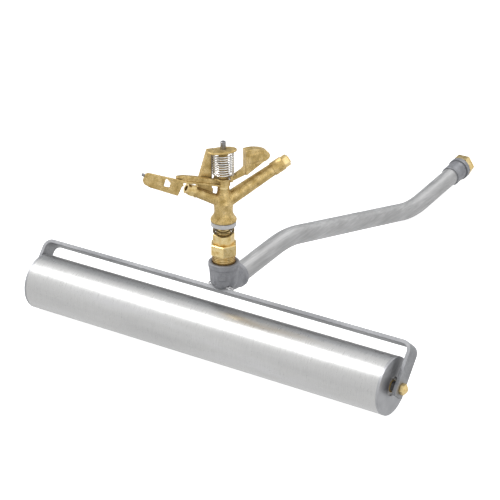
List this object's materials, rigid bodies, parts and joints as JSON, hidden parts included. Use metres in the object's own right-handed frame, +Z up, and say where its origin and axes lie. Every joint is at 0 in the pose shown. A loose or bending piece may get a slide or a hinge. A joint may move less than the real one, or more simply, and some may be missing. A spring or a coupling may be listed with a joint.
{
  "type": "impulse sprinkler",
  "caption": "Impact sprinkler with range and drive nozzles on a steel roller base, with a bent feed pipe and a threaded hose inlet.",
  "frame": {"origin": "on the ground, straight below the middle of the roller's axle", "axes": "+X along the roller's axle, +Y from the roller towards the hose inlet, +Z up"},
  "size_m": [0.595, 0.7871, 0.2909],
  "materials": {
    "roller_steel": "fine circumferential brushing",
    "zinc_steel": "zinc plated flat bar",
    "dark_steel": "dark steel",
    "pipe_steel": "galvanised tube, matt",
    "malleable_iron": "galvanised malleable casting",
    "weld_metal": "bright weld bead",
    "cast_brass": "sand cast, matt olive gold",
    "machined_brass": "machined, bright",
    "spring_steel": "bright wire",
    "spring_bronze": "bronze wire",
    "pin_steel": "turned steel",
    "white_plastic": "white moulded plastic",
    "dark_plastic": "dark moulded plastic",
    "seal_rubber": "black rubber"
  },
  "bodies": {
    "frame": {"yoke": "zinc_steel", "elbow_weld": "weld_metal", "elbow": "malleable_iron", "feed_pipe": "pipe_steel", "hose_socket": "malleable_iron", "inlet_bush": "machined_brass", "riser_bush": "machined_brass", "bearing_nipple": "machined_brass", "axle": "dark_steel", "axle_cap_nuts": "machined_brass", "axle_jam_nuts": "dark_steel", "axle_washers": "machined_brass"},
    "roller": {"roller_tube": "roller_steel", "roller_disc_left": "roller_steel", "roller_disc_right": "roller_steel", "core_tube": "dark_steel", "axle_bushes": "white_plastic"},
    "sprinkler": {"sprinkler_body": "cast_brass", "bearing_sleeve": "machined_brass", "seal_washer": "seal_rubber", "friction_spring": "spring_bronze", "sand_washer": "white_plastic", "range_nozzle": "machined_brass", "drive_nozzle": "machined_brass", "fulcrum_pin": "pin_steel", "arm_thrust_washer": "machined_brass", "post_washer": "dark_plastic", "return_spring": "spring_steel"},
    "hammer": {"hammer_arm": "cast_brass", "arm_bush": "dark_plastic", "spoon_pin": "pin_steel"}
  },
  "joints": [
    {"name": "roller_spin", "type": "hinge", "parent": "frame", "child": "roller", "pos_m": [0, 0, 0.03805], "axis": [1, 0, 0], "continuous": true},
    {"name": "sprinkler_turn", "type": "hinge", "parent": "frame", "child": "sprinkler", "pos_m": [0, 0.0393, 0.16], "axis": [0, 0, 1], "continuous": true},
    {"name": "arm_swing", "type": "hinge", "parent": "sprinkler", "child": "hammer", "pos_m": [0, 0.0393, 0.24], "axis": [0, 0, 1], "range_deg": [0, 100], "stiffness_Nm_per_rad": 0.02, "springref_deg": -28.65, "deforming": ["return_spring"]}
  ]
}
